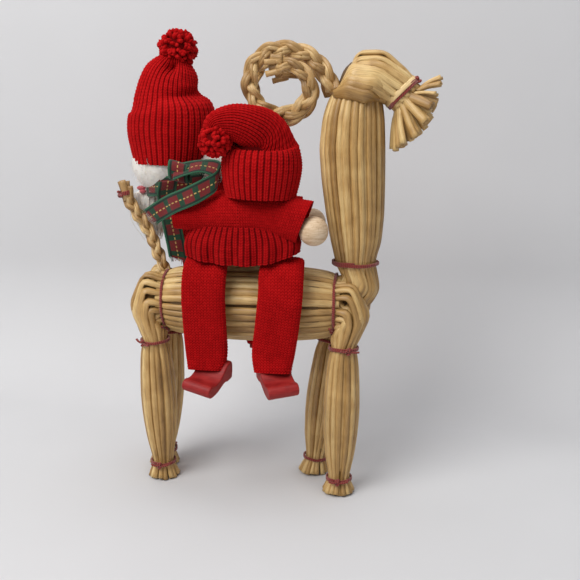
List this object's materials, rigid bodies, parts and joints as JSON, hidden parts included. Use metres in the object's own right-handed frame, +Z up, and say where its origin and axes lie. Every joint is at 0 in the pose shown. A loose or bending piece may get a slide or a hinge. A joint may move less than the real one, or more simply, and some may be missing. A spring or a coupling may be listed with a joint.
{
  "type": "straw yule goat",
  "caption": "Straw goat bound with red thread, with braided horns and tail, carrying two knitted gnome riders with jointed arms and legs.",
  "frame": {"origin": "on the ground, under the middle of the whole figure's box", "axes": "+Z up, +X from the tail towards the head, +Y to the goat's left side"},
  "size_m": [0.1633, 0.096, 0.243],
  "materials": {
    "straw": "natural straw, satin skin with darker joints",
    "split_straw": "split and flattened straw, satin",
    "thread": "waxed cotton thread, dark red",
    "knit_dark": "dark red ribbed wool knit",
    "knit_red": "red ribbed wool knit",
    "yarn": "cut wool yarn",
    "clog_paint": "red paint on turned wood, satin",
    "bead_wood": "bare turned beech",
    "wool": "uncarded white wool",
    "head_felt": "padded felt",
    "pink_felt": "pink felt",
    "ribbon": "woven ribbon, green with red and gold blocks"
  },
  "bodies": {
    "root": {"body_barrel": "straw", "body_tie_rear": "thread", "body_tie_front": "thread", "leg_front_near": "straw", "leg_front_far": "straw", "leg_rear_near": "straw", "leg_rear_far": "straw", "upper_tie_front_near": "thread", "upper_tie_front_far": "thread", "upper_tie_rear_near": "thread", "upper_tie_rear_far": "thread", "ankle_tie_front_near": "thread", "ankle_tie_front_far": "thread", "ankle_tie_rear_near": "thread", "ankle_tie_rear_far": "thread", "neck_bundle": "straw", "neck_base_tie": "thread", "neck_top_tie": "thread", "head_bundle": "straw", "muzzle_tie": "thread", "muzzle_band": "split_straw", "beard_fan": "straw", "horn_near": "straw", "horn_far": "straw", "tail_braid": "straw", "tail_tie": "thread", "near_torso": "knit_dark", "near_head": "head_felt", "near_hat": "knit_dark", "near_pompom": "yarn", "far_torso": "knit_dark", "far_head": "head_felt", "far_hair": "wool", "far_mouth": "pink_felt", "far_beard": "wool", "far_hat": "knit_red", "far_pompom": "yarn", "scarf_collar": "ribbon", "scarf_knot": "ribbon", "scarf_loop": "ribbon", "scarf_tail_front": "ribbon", "scarf_tail_back": "ribbon"},
    "near_leg_front_body": {"near_leg_front": "knit_red", "near_clog_front": "clog_paint"},
    "near_arm_front_body": {"near_arm_front": "knit_dark", "near_hand_front": "bead_wood"},
    "near_leg_rear_body": {"near_leg_rear": "knit_red", "near_clog_rear": "clog_paint"},
    "near_arm_rear_body": {"near_arm_rear": "knit_dark", "near_hand_rear": "bead_wood"},
    "far_leg_front_body": {"far_leg_front": "knit_red", "far_clog_front": "clog_paint"},
    "far_arm_front_body": {"far_arm_front": "knit_dark", "far_hand_front": "bead_wood"},
    "far_leg_rear_body": {"far_leg_rear": "knit_red", "far_clog_rear": "clog_paint"},
    "far_arm_rear_body": {"far_arm_rear": "knit_dark", "far_hand_rear": "bead_wood"}
  },
  "joints": [
    {"name": "near_hip_front", "type": "hinge", "parent": "root", "child": "near_leg_front_body", "pos_m": [0.0085, -0.0265, 0.118], "axis": [-1, 0, 0], "range_deg": [0, 55]},
    {"name": "near_shoulder_front", "type": "hinge", "parent": "root", "child": "near_arm_front_body", "pos_m": [0.004, -0.017, 0.147], "axis": [0, 0, -1], "range_deg": [0, 50]},
    {"name": "near_hip_rear", "type": "hinge", "parent": "root", "child": "near_leg_rear_body", "pos_m": [-0.031, -0.0265, 0.118], "axis": [-1, 0, 0], "range_deg": [0, 55]},
    {"name": "near_shoulder_rear", "type": "hinge", "parent": "root", "child": "near_arm_rear_body", "pos_m": [-0.028, -0.017, 0.147], "axis": [0, 0, 1], "range_deg": [0, 25]},
    {"name": "far_hip_front", "type": "hinge", "parent": "root", "child": "far_leg_front_body", "pos_m": [-0.009, 0.0265, 0.118], "axis": [1, 0, 0], "range_deg": [0, 55]},
    {"name": "far_shoulder_front", "type": "hinge", "parent": "root", "child": "far_arm_front_body", "pos_m": [-0.011, 0.017, 0.147], "axis": [0, 0, 1], "range_deg": [0, 50]},
    {"name": "far_hip_rear", "type": "hinge", "parent": "root", "child": "far_leg_rear_body", "pos_m": [-0.044, 0.0265, 0.118], "axis": [1, 0, 0], "range_deg": [0, 55]},
    {"name": "far_shoulder_rear", "type": "hinge", "parent": "root", "child": "far_arm_rear_body", "pos_m": [-0.043, 0.017, 0.147], "axis": [0, 0, 1], "range_deg": [0, 50]}
  ]
}
